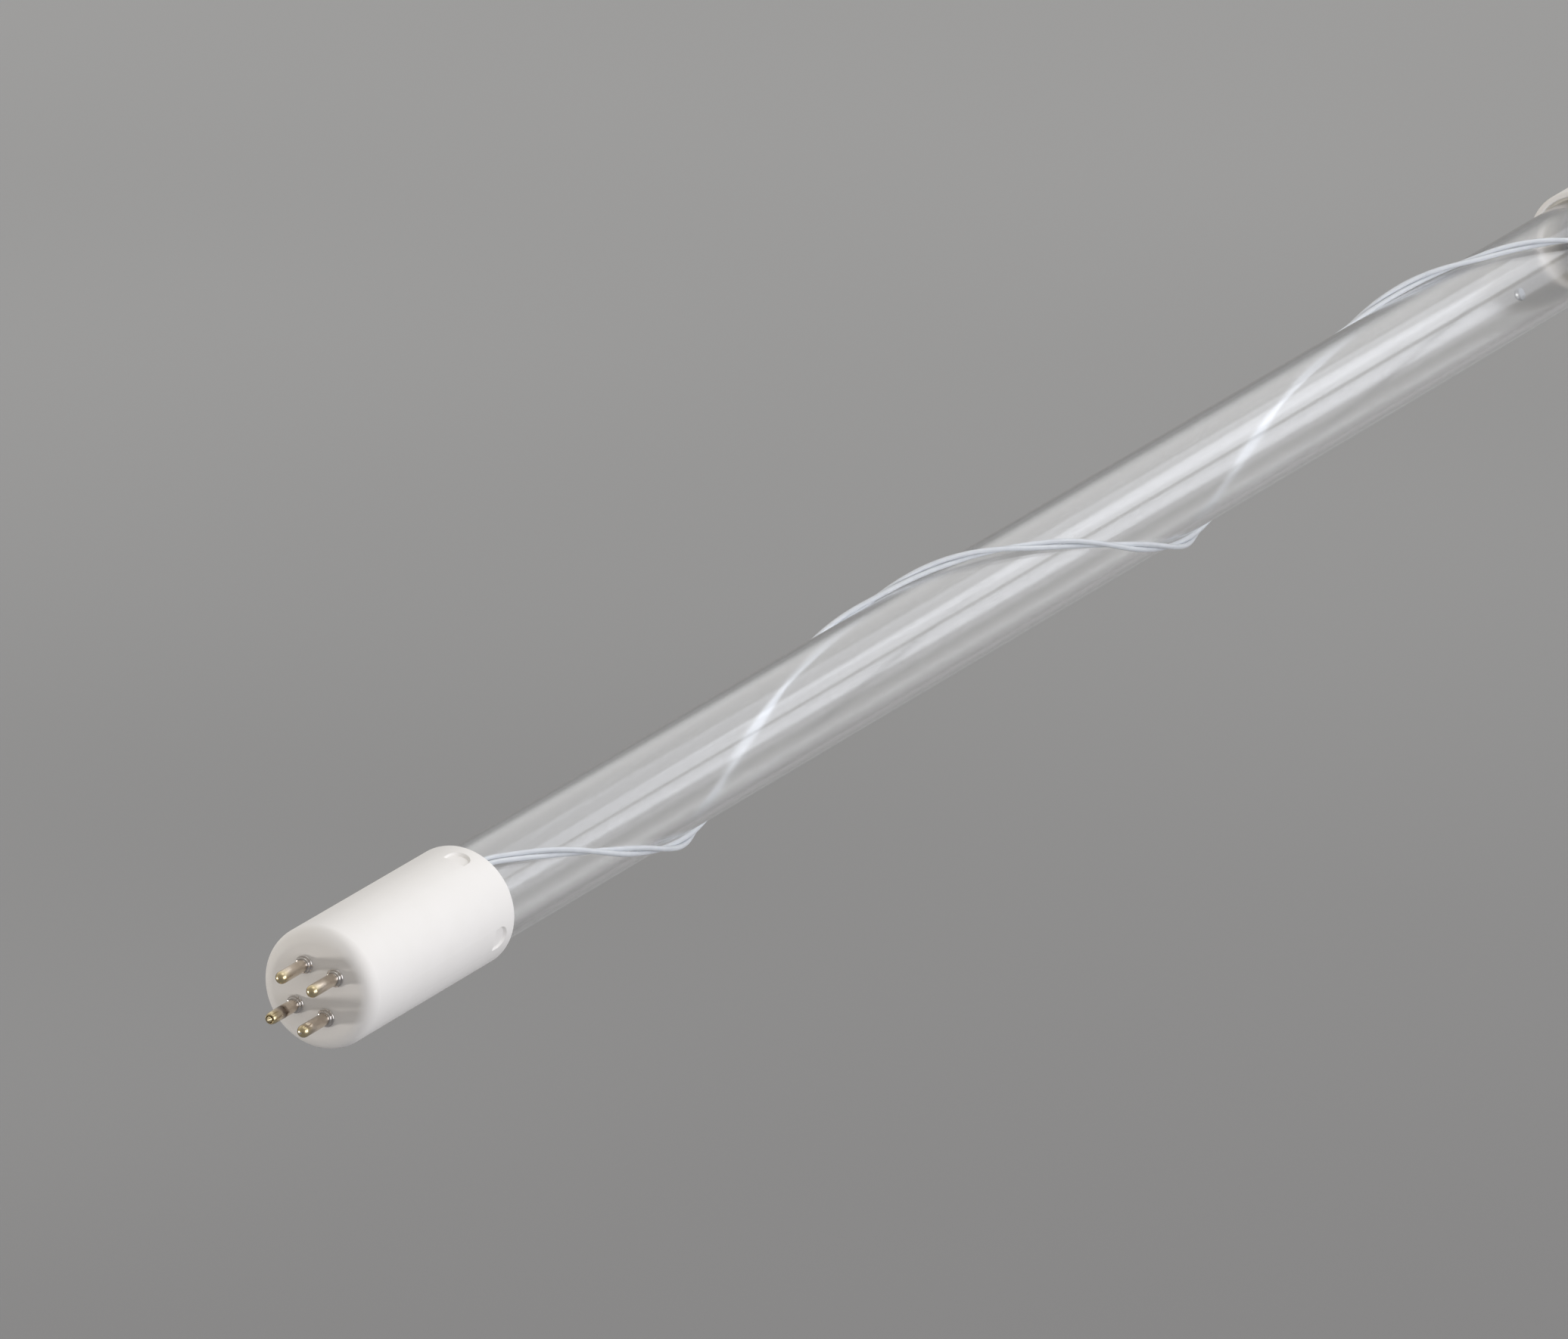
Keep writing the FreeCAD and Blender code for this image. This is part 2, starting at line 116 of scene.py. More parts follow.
def faceOutwards():
    # the whole mesh's normals turned outwards, and edit mode left
    bpy.ops.mesh.select_all(action="SELECT")
    bpy.ops.mesh.normals_make_consistent(inside=False)
    bpy.ops.object.mode_set(mode="OBJECT")


def applyPlace(piece):
    activate(piece)
    bpy.ops.object.transform_apply(location=True, rotation=True, scale=True)


def moveTo(piece, place):
    piece.location = place
    applyPlace(piece)


def turnRound(piece, angle):
    # round the lamp's axis, from straight up, in degrees from +Y towards +Z
    piece.rotation_euler = (math.radians(angle - 90), 0, 0)
    applyPlace(piece)


def copyOf(piece):
    # another piece of the same shape, with its own mesh
    twin = piece.copy()
    twin.data = piece.data.copy()
    bpy.context.collection.objects.link(twin)
    return twin


def rod(radius, start, end, sides):
    # a solid cylinder along X, in millimetres
    deselectAll()
    bpy.ops.mesh.primitive_cylinder_add(vertices=sides, radius=radius * mm,
                                        depth=(end - start) * mm,
                                        location=((start + end) / 2 * mm, 0, 0),
                                        rotation=(0, math.pi / 2, 0))
    piece = bpy.context.object
    applyPlace(piece)
    return piece


def turned(profile, sides):
    # lathe work: a disc at the first (station, radius), drawn out through all the others
    deselectAll()
    station, radius = profile[0]
    bpy.ops.mesh.primitive_circle_add(vertices=sides, radius=radius * mm, fill_type="NGON",
                                      location=(station * mm, 0, 0), rotation=(0, math.pi / 2, 0))
    piece = bpy.context.object
    applyPlace(piece)
    bpy.ops.object.mode_set(mode="EDIT")
    bpy.ops.mesh.select_mode(type="FACE")
    bpy.ops.mesh.select_all(action="SELECT")
    for newStation, newRadius in profile[1:]:
        drawOut(newStation - station)
        bpy.ops.transform.resize(value=(1, newRadius / radius, newRadius / radius),
                                 center_override=(newStation * mm, 0, 0))
        station, radius = newStation, newRadius
    faceOutwards()
    return piece


def cut(piece, cutter):
    # take the cutter's shape out of the piece, and drop the cutter
    activate(piece)
    modifier = piece.modifiers.new("cut", "BOOLEAN")
    modifier.operation = "DIFFERENCE"
    modifier.solver = "EXACT"
    modifier.object = cutter
    bpy.ops.object.modifier_apply(modifier=modifier.name)
    bpy.data.objects.remove(cutter)


def finishPiece(piece, name, material, nodes, smoothAngle=30):
    # smooth its round faces, give it its finish, and let it ride on the lamp's one body
    activate(piece)
    bpy.ops.object.shade_smooth_by_angle(angle=math.radians(smoothAngle))
    piece.name = name
    piece.data.name = name
    piece.data.materials.clear()
    piece.data.materials.append(material)
    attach(piece, "root")
    if nodes:
        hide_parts(*nodes)
    deselectAll()


# camera, where the photograph was taken from
camera = dict(place=(-2.3582, -1.3641, 0.9632), forward=(0.83540, 0.45035, -0.31510),
              up=(0.27737, 0.14952, 0.94906), lens=379.9, sensor=36.0)


def makeCamera():
    data = bpy.data.cameras.new("camera")
    data.lens = camera["lens"]
    data.sensor_width = camera["sensor"]
    data.sensor_fit = "HORIZONTAL"
    data.clip_start = 0.05
    data.clip_end = 100.0
    back = -Vector(camera["forward"]).normalized()
    up = Vector(camera["up"]).normalized()
    right = up.cross(back)
    place = Matrix((right, up, back)).transposed().to_4x4()
    place.translation = Vector(camera["place"])
    viewer = bpy.data.objects.new("camera", data)
    viewer.matrix_world = place
    bpy.context.scene.collection.objects.link(viewer)
    bpy.context.scene.camera = viewer


makeCamera()
print("camera made")

# the lamp's own sizes in millimetres and degrees, as the frame was built
lamp = dict(roll=13.7, length=554.0, pinRim=51.0, endRim=508.0, tubeRadius=9.5, tubeWall=1.1,
            pinchNear=18.0, pinchFar=541.0, capRadius=11.3, boreRadius=10.1,
            slotHalfWidth=1.491, slotTop=10.7, pinAcross=3.175, pinUp=3.96)
pinCorners = ((1, 1), (-1, 1), (1, -1), (-1, -1))        # pins 1 to 4, across and up
lampRoll = Matrix.Rotation(math.radians(lamp["roll"]), 3, "X")


def lampPoint(station, angle, radius, sideways=0.0):
    # a point by its station along the lamp, its angle round it and its distance from the axis
    turn = math.radians(angle)
    return (station, math.cos(turn) * radius + math.sin(turn) * sideways,
            math.sin(turn) * radius - math.cos(turn) * sideways)


def pinPlace(across, up):
    return lampRoll @ Vector((0, across * lamp["pinAcross"], up * lamp["pinUp"])) * mm


# return wires: two insulated strands twisted on each other and wound round the tube
wires = dict(radius=0.5, conductor=0.25, pitch=213.4, startAngle=110.7, sway=10.8, swayStart=46.0,
             swayLength=446.0, halfTurns=11, perHalfTurn=5, margin=9.0, layRadius=10.0996,
             lift=1.134, spread=1.1821, sleeveSide=3.6, sleeveLevel=2.35,
             inPin=-7.9, leavesPin=13.0, reachesLay=33.0,
             leavesLay=526.0, reachesSleeve=537.6, inSleeve=548.78,
             bareStart=30.1, bareEnd=15.9, length=581.0,
             steps=8, insulationRings=4, conductorRings=3, merge=0.002)


def helixAngle(distance):
    # where the wires are round the tube, at a distance from the pin cap's rim
    sway = 2 * math.pi * (distance - wires["swayStart"]) / wires["swayLength"]
    return wires["startAngle"] + 360 * distance / wires["pitch"] - wires["sway"] * math.cos(sway)


def strandPoints(strand):
    # the frame's own route: side by side on the tube, or riding over the other strand
    freeLength = lamp["endRim"] - lamp["pinRim"]
    step = (freeLength - 2 * wires["margin"]) / wires["halfTurns"] / wires["perHalfTurn"]
    count = wires["halfTurns"] * wires["perHalfTurn"]
    lay, aside = wires["layRadius"], strand * wires["spread"] / 2
    nearAngle, farAngle = helixAngle(0.0), helixAngle(freeLength)

    def onTube(distance, turn):
        lift = max(0.0, strand * math.sin(turn)) * wires["lift"]
        apart = strand * math.cos(turn) * wires["spread"] / 2
        return lampPoint(lamp["pinRim"] + distance, helixAngle(distance), lay + lift, apart)

    points = [(station, strand * lamp["pinAcross"], lamp["pinUp"])
              for station in (wires["inPin"], wires["leavesPin"])]
    points += [lampPoint(wires["reachesLay"], nearAngle, lay, aside), onTube(0.0, 0.0)]
    points += [onTube(wires["margin"] + index * step, index * math.pi / wires["perHalfTurn"])
               for index in range(count + 1)]
    points.append(onTube(freeLength, count * math.pi / wires["perHalfTurn"]))
    points.append(lampPoint(wires["leavesLay"], farAngle, lay, -aside))
    points += [lampPoint(station, farAngle, wires["sleeveLevel"], -strand * wires["sleeveSide"])
               for station in (wires["reachesSleeve"], wires["inSleeve"])]
    return [lampRoll @ Vector(point) * mm for point in points]


def makeStrand(strand, radius, rings, trim):
    # a round wire on the strand's route, trimmed where the insulation is stripped off
    curve = bpy.data.curves.new("wire", "CURVE")
    curve.dimensions = "3D"
    points = strandPoints(strand)
    spline = curve.splines.new("NURBS")
    spline.points.add(len(points) - 1)
    for target, point in zip(spline.points, points):
        target.co = (*point, 1.0)
    spline.order_u = 3
    spline.use_endpoint_u = True
    spline.resolution_u = wires["steps"]
    curve.bevel_depth = radius * mm
    curve.bevel_resolution = rings
    curve.use_fill_caps = True
    if trim:
        curve.bevel_factor_mapping_start = "SPLINE"
        curve.bevel_factor_mapping_end = "SPLINE"
        curve.bevel_factor_start = wires["bareStart"] / wires["length"]
        curve.bevel_factor_end = 1 - wires["bareEnd"] / wires["length"]
    piece = bpy.data.objects.new("wire", curve)
    bpy.context.scene.collection.objects.link(piece)
    activate(piece)
    bpy.ops.object.convert(target="MESH")
    piece = bpy.context.object
    bpy.ops.object.mode_set(mode="EDIT")
    bpy.ops.mesh.select_all(action="SELECT")
    bpy.ops.mesh.remove_doubles(threshold=wires["merge"] * mm)
    faceOutwards()
    return piece


# materials: a Mix node takes its two colours at inputs 6 and 7, and gives output 2
colours = {"data_type": "RGBA"}                     # a Mix node's settings
softly = {"interpolation_type": "SMOOTHSTEP"}       # a Map Range node's settings


def steatite(name, low, high, roughness):
    # pressed steatite, fired unglazed: dense and matt, with a grain of 0.2 mm, faint clouds
    # 4.5 mm wide, and flecks up to 0.5 mm across at points 9 mm apart, few of them on the surface
    material, tree, output, place = newMaterial(name)
    grain = addNode(tree, "ShaderNodeTexNoise",
                    inputs={"Vector": place, "Scale": scaleFor(0.2), "Detail": 2.0})
    cloud = addNode(tree, "ShaderNodeTexNoise",
                    inputs={"Vector": place, "Scale": scaleFor(4.5455), "Detail": 3.0})
    tint = addNode(tree, "ShaderNodeMix", colours,
                   {0: cloud.outputs["Fac"], 6: hexColor(low), 7: hexColor(high)})
    speck = addNode(tree, "ShaderNodeTexVoronoi",
                    inputs={"Vector": place, "Scale": scaleFor(9.0909), "Randomness": 1.0})
    fleck = addNode(tree, "ShaderNodeMapRange", softly,
                    {"Value": speck.outputs["Distance"], "From Min": 0.012, "From Max": 0.03,
                     "To Min": 0.55, "To Max": 0.0})
    spotted = addNode(tree, "ShaderNodeMix", colours,
                      {0: fleck.outputs[0], 6: tint.outputs[2], 7: hexColor("#9A958E")})
    bump = addNode(tree, "ShaderNodeBump", inputs={"Strength": 0.1, "Distance": 0.03 * mm,
                                                   "Height": grain.outputs["Fac"]})
    shader = addNode(tree, "ShaderNodeBsdfPrincipled",
                     inputs={"Base Color": spotted.outputs[2], "Roughness": roughness, "IOR": 1.6,
                             "Normal": bump.outputs["Normal"]})
    tree.links.new(shader.outputs[0], output.inputs["Surface"])
    return material


def quartz():
    # clear fused quartz, drawn and fire polished: colourless, its reflections drawn out a little
    # by faint lines along the tube, 6 mm apart
    material, tree, output, place = newMaterial("clear fused quartz")
    draw = addNode(tree, "ShaderNodeMapping",
                   inputs={"Vector": place,
                           "Scale": (scaleFor(500), scaleFor(6.25), scaleFor(6.25))})
    lines = addNode(tree, "ShaderNodeTexNoise",
                    inputs={"Vector": draw.outputs[0], "Scale": 1.0, "Detail": 1.0})
    sheen = addNode(tree, "ShaderNodeMapRange",
                    inputs={"Value": lines.outputs["Fac"], "To Min": 0.05, "To Max": 0.13})
    glass = addNode(tree, "ShaderNodeBsdfPrincipled",
                    inputs={"Base Color": hexColor("#FFFFFF"), "Roughness": sheen.outputs[0],
                            "IOR": 1.458, "Transmission Weight": 1.0})
    # shadow rays pass straight through, where refraction would throw a dark shadow
    clear = addNode(tree, "ShaderNodeBsdfTransparent", inputs={"Color": hexColor("#FBFBFB")})
    path = addNode(tree, "ShaderNodeLightPath")
    mixed = addNode(tree, "ShaderNodeMixShader", inputs={0: path.outputs["Is Shadow Ray"],
                                                         1: glass.outputs[0], 2: clear.outputs[0]})
    tree.links.new(mixed.outputs[0], output.inputs["Surface"])
    return material


def metal(name, low, high, roughness):
    # plain worked metal, a little mottled in patches of 0.7 mm
    material, tree, output, place = newMaterial(name)
    mottle = addNode(tree, "ShaderNodeTexNoise",
                     inputs={"Vector": place, "Scale": scaleFor(0.66667), "Detail": 3.0})
    tint = addNode(tree, "ShaderNodeMix", colours,
                   {0: mottle.outputs["Fac"], 6: hexColor(low), 7: hexColor(high)})
    shader = addNode(tree, "ShaderNodeBsdfPrincipled",
                     inputs={"Base Color": tint.outputs[2], "Roughness": roughness,
                             "Metallic": 1.0})
    tree.links.new(shader.outputs[0], output.inputs["Surface"])
    return material


# where the finish of a pin changes, in millimetres from the face of the cap
plating = dict(tip=(-8.4, -5.2), foot=(-1.4, -1.1), wander=1.4, bandAt=-4.8, bandHalf=(0.3, 1.4))


def platedPin(name, darkBand):
    # nickel-plated brass, turned: bright rings at the foot, warm plating along the pin, and the
    # brass showing through at the worn tip; marks run round the pin every 0.11 mm
    material, tree, output, place = newMaterial(name)
    along = addNode(tree, "ShaderNodeSeparateXYZ", inputs={"Vector": place})
    cloud = addNode(tree, "ShaderNodeTexNoise",
                    inputs={"Vector": place, "Scale": scaleFor(1.1111), "Detail": 4.0})
    wander = addNode(tree, "ShaderNodeMath", {"operation": "MULTIPLY_ADD"},
                     {0: cloud.outputs["Fac"], 1: plating["wander"] * mm, 2: along.outputs["X"]})
    tip = addNode(tree, "ShaderNodeMapRange", softly,
                  {"Value": wander.outputs[0], "From Min": plating["tip"][0] * mm,
                   "From Max": plating["tip"][1] * mm, "To Min": 1.0, "To Max": 0.0})
    foot = addNode(tree, "ShaderNodeMapRange", softly,
                   {"Value": along.outputs["X"], "From Min": plating["foot"][0] * mm,
                    "From Max": plating["foot"][1] * mm})
    warm = addNode(tree, "ShaderNodeMix", colours,
                   {0: cloud.outputs["Fac"], 6: hexColor("#C2B3A2"), 7: hexColor("#E6DBCD")})
    worn = addNode(tree, "ShaderNodeMix", colours,
                   {0: tip.outputs[0], 6: warm.outputs[2], 7: hexColor("#D2C39E")})
    bright = addNode(tree, "ShaderNodeMix", colours,
                     {0: foot.outputs[0], 6: worn.outputs[2], 7: hexColor("#CFCBC8")})
    colour = bright.outputs[2]
    if darkBand:
        # a darker band round the pin where it is crimped
        middle = addNode(tree, "ShaderNodeMath", {"operation": "ADD"},
                         {0: wander.outputs[0], 1: -plating["bandAt"] * mm})
        offset = addNode(tree, "ShaderNodeMath", {"operation": "ABSOLUTE"},
                         {0: middle.outputs[0]})
        band = addNode(tree, "ShaderNodeMapRange", softly,
                       {"Value": offset.outputs[0], "From Min": plating["bandHalf"][0] * mm,
                        "From Max": plating["bandHalf"][1] * mm, "To Min": 0.85, "To Max": 0.0})
        banded = addNode(tree, "ShaderNodeMix", colours,
                        {0: band.outputs[0], 6: colour, 7: hexColor("#574536")})
        colour = banded.outputs[2]
    gloss = addNode(tree, "ShaderNodeMapRange",
                    inputs={"Value": foot.outputs[0], "To Min": 0.26, "To Max": 0.12})
    turning = addNode(tree, "ShaderNodeMapping",
                      inputs={"Vector": place,
                              "Scale": (scaleFor(0.11111), scaleFor(2), scaleFor(2))})
    marks = addNode(tree, "ShaderNodeTexNoise",
                    inputs={"Vector": turning.outputs[0], "Scale": 1.0, "Detail": 2.0})
    bump = addNode(tree, "ShaderNodeBump", inputs={"Strength": 0.18, "Distance": 0.02 * mm,
                                                   "Height": marks.outputs["Fac"]})
    shader = addNode(tree, "ShaderNodeBsdfPrincipled",
                     inputs={"Base Color": colour, "Roughness": gloss.outputs[0], "Metallic": 1.0,
                             "Normal": bump.outputs["Normal"]})
    tree.links.new(shader.outputs[0], output.inputs["Surface"])
    return material


def fluoropolymer():
    # extruded fluoropolymer insulation: thin, milky and waxy, with the wire showing through, and
    # cloudy every 2.5 mm
    material, tree, output, place = newMaterial("extruded fluoropolymer")
    cloud = addNode(tree, "ShaderNodeTexNoise",
                    inputs={"Vector": place, "Scale": scaleFor(2.5), "Detail": 2.0})
    tint = addNode(tree, "ShaderNodeMix", colours,
                   {0: cloud.outputs["Fac"], 6: hexColor("#D6DBE2"), 7: hexColor("#E8ECF1")})
    shader = addNode(tree, "ShaderNodeBsdfPrincipled",
                     inputs={"Base Color": tint.outputs[2], "Roughness": 0.25, "IOR": 1.35,
                             "Transmission Weight": 0.15})
    tree.links.new(shader.outputs[0], output.inputs["Surface"])
    return material


steatiteWhite = steatite("pressed steatite", "#ECEAE7", "#F0EEEC", 0.6)
cementGrey = steatite("basing cement", "#C9C4BA", "#D8D4CB", 0.85)
quartzClear = quartz()
pinPlate = platedPin("nickel-plated brass", False)
# the open pin's finish, darker in a band round it where it is crimped
pinPlateBanded = platedPin("nickel-plated brass, dark band at the crimp", True)
insulation = fluoropolymer()
sleevePlate = metal("tinned copper", "#A8A6A2", "#CFCDC9", 0.3)
leadWire = metal("drawn nickel wire", "#B9B4AC", "#D6D2CA", 0.28)
silverWire = metal("silver-plated copper wire", "#CFC6B4", "#F0EAE0", 0.2)
molybdenum = metal("rolled molybdenum ribbon", "#85858A", "#A3A3A8", 0.3)
tungsten = metal("emitter-coated tungsten", "#55534F", "#8A8883", 0.6)
amalgamMetal = metal("indium amalgam", "#9FA2A5", "#C4C7CA", 0.4)

# the frame's own pieces, by a word in their names; all the others are replaced below
nodeMaterials = {"amalgam": amalgamMetal, "electrode": tungsten, "sleeve": sleevePlate,
                 "foil": molybdenum, "lead": leadWire}
for name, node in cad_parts.items():
    finish = [material for word, material in nodeMaterials.items() if word in name]
    node.data.materials.clear()
    node.data.materials.append(finish[0] if finish else steatiteWhite)
print("materials on the frame's nodes")

for number, strand in ((1, 1), (2, -1)):
    sleeve = makeStrand(strand, wires["radius"], wires["insulationRings"], True)
    finishPiece(sleeve, "wireInsulation%d" % number, insulation,
                ["return_wire_%d" % number])
    core = makeStrand(strand, wires["conductor"], wires["conductorRings"], False)
    finishPiece(core, "wireConductor%d" % number, silverWire, [])
print("return wires made")

# quartz tube: outer shell and cavity, both ends pressed flat on the foils
tube = dict(sides=192, shoulder=8.0, shoulderSteps=8, plate=15.0, plateHalfWidth=8.2,
            plateHalfThickness=1.8, cavityPlate=1.1, cavityTip=0.6, smoothAngle=35)


def pinchedShell(radius, start, end, plate, halfWidth, halfThickness):
    # a closed tube whose ends are drawn flat through a round shoulder
    steps = tube["shoulderSteps"]
    shell = rod(radius, start + plate + tube["shoulder"], end - plate - tube["shoulder"],
                tube["sides"])
    for side in (-1, 1):
        pick(shell, "FACE", lambda centre, normal: normal.x * side > 0.9)
        width = height = radius
        for step in range(1, steps + 1):
            turn = math.pi / 2 * step / steps
            newWidth = halfWidth + (radius - halfWidth) * math.cos(turn)
            newHeight = halfThickness + (radius - halfThickness) * math.cos(turn)
            drawOut(side * tube["shoulder"]
                    * (math.sin(turn) - math.sin(turn - math.pi / 2 / steps)))
            bpy.ops.transform.resize(value=(1, newWidth / width, newHeight / height),
                                     center_override=(0, 0, 0))
            width, height = newWidth, newHeight
        drawOut(side * plate)
        bpy.ops.object.mode_set(mode="OBJECT")
    return shell


def makeQuartz():
    outer = pinchedShell(lamp["tubeRadius"], lamp["pinchNear"], lamp["pinchFar"], tube["plate"],
                         tube["plateHalfWidth"], tube["plateHalfThickness"])
    inner = pinchedShell(lamp["tubeRadius"] - lamp["tubeWall"], lamp["pinchNear"] + tube["plate"],
                         lamp["pinchFar"] - tube["plate"], tube["cavityPlate"],
                         tube["plateHalfWidth"] - lamp["tubeWall"], tube["cavityTip"])
    activate(inner)
    bpy.ops.object.mode_set(mode="EDIT")
    bpy.ops.mesh.select_all(action="SELECT")
    bpy.ops.mesh.flip_normals()        # the cavity's faces look into it
    activate(outer)
    inner.select_set(True)
    bpy.ops.object.join()
    turnRound(outer, 90 + lamp["roll"])
    finishPiece(outer, "quartzTube", quartzClear, ["quartz_tube"], tube["smoothAngle"])


makeQuartz()
print("quartz tube made")

# ceramic caps: cups with a round front edge, a slot inside for the wires, and pockets by the rim;
# slotFloor is the slot cutter's lowest level, and overrun how far cutters stand out of their cuts
caps =dict(sides=192, edgeRadius=2.8, edgeSteps=14, rimRadius=0.3, rimSteps=4, wiringRadius=8.5,
            wiringDepth=4.0, pinFloor=5.0, endFloor=4.0, pinHole=1.2, holeSides=48,
            slotFloor=5.0, overrun=1.0)
pocket = dict(count=4, floorHalf=1.85, depth=0.5, wall=1.0, straight=2.4, fromRim=4.9, skirt=0.2,
              sides=64)
cement = dict(near=43.2, far=508.8, length=7.0, clearance=0.01)


def slotCutter(start, end, angle):
    # room for the pair of wires, round on top
    half, floor = lamp["slotHalfWidth"] * mm, caps["slotFloor"] * mm
    cutter = rod(lamp["slotTop"], start, end, caps["sides"])
    for place, outwards in (((0, half, 0), (0, 1, 0)), ((0, -half, 0), (0, -1, 0)),
                            ((0, 0, floor), (0, 0, -1))):
        pick(cutter, "FACE", lambda centre, normal: True)
        bpy.ops.mesh.bisect(plane_co=place, plane_no=outwards, use_fill=True, clear_outer=True)
    bpy.ops.object.mode_set(mode="OBJECT")
    turnRound(cutter, angle)
    return cutter


def pocketCutter():
    # straight up: U-shaped in plan, round towards the rim, with sloping walls and a flat floor
    middle = (lamp["pinRim"] - pocket["fromRim"]) * mm
    level = lamp["capRadius"] - pocket["depth"] + pocket["wall"]
    deselectAll()
    bpy.ops.mesh.primitive_circle_add(vertices=pocket["sides"],
                                      radius=(pocket["floorHalf"] + pocket["wall"]) * mm,
                                      fill_type="NGON", location=(middle, 0, level * mm))
    cutter = bpy.context.object
    applyPlace(cutter)
    pick(cutter, "VERT", lambda place: place.x < middle - touching)
    bpy.ops.transform.resize(value=(0, 1, 1), center_override=(middle, 0, 0))
    bpy.ops.transform.translate(value=(-pocket["straight"] * mm, 0, 0))
    bpy.ops.mesh.select_all(action="SELECT")
    bpy.ops.mesh.dissolve_limited(angle_limit=math.radians(1))    # the straight edge's spare points
    pick(cutter, "FACE", lambda centre, normal: True)
    drawOut(0, -pocket["skirt"])
    bpy.ops.mesh.inset(thickness=pocket["wall"] * mm, use_even_offset=True)
    bpy.ops.transform.translate(value=(0, 0, -pocket["wall"] * mm))
    faceOutwards()
    moveTo(cutter, (0, 0, pocket["skirt"] * mm))
    return cutter


def capCup(face, rim, floor):
    # the cup before its cuts, its closed face at one end and its rim at the other
    side = 1 if rim > face else -1
    cup = rod(lamp["capRadius"], min(face, rim), max(face, rim), caps["sides"])
    for end, radius, steps in ((face, caps["edgeRadius"], caps["edgeSteps"]),
                               (rim, caps["rimRadius"], caps["rimSteps"])):
        pick(cup, "EDGE", lambda place: abs(place.x - end * mm) < touching)
        bpy.ops.mesh.bevel(offset=radius * mm, segments=steps, profile=0.5, affect="EDGES",
                           clamp_overlap=False)
    pick(cup, "FACE", lambda centre, normal: normal.x * side > 0.999)
    flat = lamp["capRadius"] - lamp["boreRadius"] - 2 * caps["rimRadius"]
    bpy.ops.mesh.inset(thickness=flat * mm)
    before = 0.0
    for step in range(1, caps["rimSteps"] + 1):        # the rim's inner edge, rounded in steps
        turn = math.pi / 2 * step / caps["rimSteps"]
        inward = caps["rimRadius"] * (math.sin(turn) - math.sin(before))
        down = caps["rimRadius"] * (math.cos(before) - math.cos(turn))
        bpy.ops.mesh.inset(thickness=inward * mm)
        bpy.ops.transform.translate(value=(-side * down * mm, 0, 0))
        before = turn
    drawOut(-side * (abs(rim - face) - floor - caps["wiringDepth"] - caps["rimRadius"]))
    bpy.ops.mesh.inset(thickness=(lamp["boreRadius"] - caps["wiringRadius"]) * mm)
    drawOut(-side * caps["wiringDepth"])
    bpy.ops.object.mode_set(mode="OBJECT")
    return cup


def makeCaps():
    past = caps["overrun"]
    nearAngle = helixAngle(0.0) + lamp["roll"]
    farAngle = helixAngle(lamp["endRim"] - lamp["pinRim"]) + lamp["roll"]
    pinCap = capCup(0.0, lamp["pinRim"], caps["pinFloor"])
    pinRoom = caps["pinFloor"] + caps["wiringDepth"]
    cut(pinCap, slotCutter(pinRoom, lamp["pinRim"] + past, nearAngle))
    pocketTool = pocketCutter()
    for index in range(pocket["count"]):
        cutter = copyOf(pocketTool)
        turnRound(cutter, 90 + 360 / pocket["count"] * index + lamp["roll"])
        cut(pinCap, cutter)
    holeTool = rod(caps["pinHole"], -past, caps["pinFloor"] + past, caps["holeSides"])
    for corner in pinCorners:
        hole = copyOf(holeTool)
        moveTo(hole, pinPlace(*corner))
        cut(pinCap, hole)
    finishPiece(pinCap, "pinCap", steatiteWhite, ["pin_cap"])
    endCap = capCup(lamp["length"], lamp["endRim"], caps["endFloor"])
    endRoom = lamp["length"] - caps["endFloor"] - caps["wiringDepth"]
    cut(endCap, slotCutter(lamp["endRim"] - past, endRoom, farAngle))
    finishPiece(endCap, "endCap", steatiteWhite, ["end_cap"])
    # cement: a ring between tube and bore in each cap, open at the slot
    plainRing = rod(lamp["boreRadius"] - cement["clearance"], 0, cement["length"], caps["sides"])
    cut(plainRing, rod(lamp["tubeRadius"] + cement["clearance"], -past, cement["length"] + past,
                       caps["sides"]))
    for name, angle in (("near", nearAngle), ("far", farAngle)):
        ring = copyOf(plainRing)
        moveTo(ring, (cement[name] * mm, 0, 0))
        cut(ring, slotCutter(cement[name] - past, cement[name] + cement["length"] + past, angle))
        finishPiece(ring, name + "Cement", cementGrey, [name + "_cement"])
    for tool in (pocketTool, holeTool, plainRing):
        bpy.data.objects.remove(tool)


makeCaps()
print("caps made")

# contact pins, turned with two rings at the foot and a round tip; the profiles give the station
# from the face of the cap and the radius, in millimetres
pins = dict(sides=64, radius=1.15, length=9.2, tipSteps=8, tipFlat=0.05, beadSides=32,
            smoothAngle=40, beadSmoothAngle=50)
pinFoot = [(5.62, 1.3), (5.56, 1.46), (5.46, 1.5), (5.18, 1.5), (5.08, 1.46), (5.02, 1.3),
           (5.02, 1.15), (-0.02, 1.15), (-0.03, 1.45), (-0.1, 1.58), (-0.18, 1.66), (-0.28, 1.7),
           (-0.36, 1.69), (-0.44, 1.64), (-0.5, 1.56), (-0.54, 1.45), (-0.56, 1.3), (-0.6, 1.22),
           (-0.65, 1.24), (-0.68, 1.34), (-0.74, 1.42), (-0.82, 1.45), (-0.92, 1.44),
           (-1.0, 1.39), (-1.06, 1.3), (-1.09, 1.2), (-1.1, 1.1), (-1.16, 1.08), (-1.24, 1.13),
           (-1.32, 1.15)]
openTip = [(-5.2, 1.15), (-5.3, 1.12), (-5.5, 1.12), (-5.6, 1.15), (-7.9, 1.15), (-8.4, 1.12),
           (-8.8, 1.05), (-9.05, 0.96), (-9.17, 0.88), (-9.2, 0.8), (-9.17, 0.73), (-9.1, 0.7),
           (-8.2, 0.7), (-8.2, 0.42), (-1.2, 0.42)]
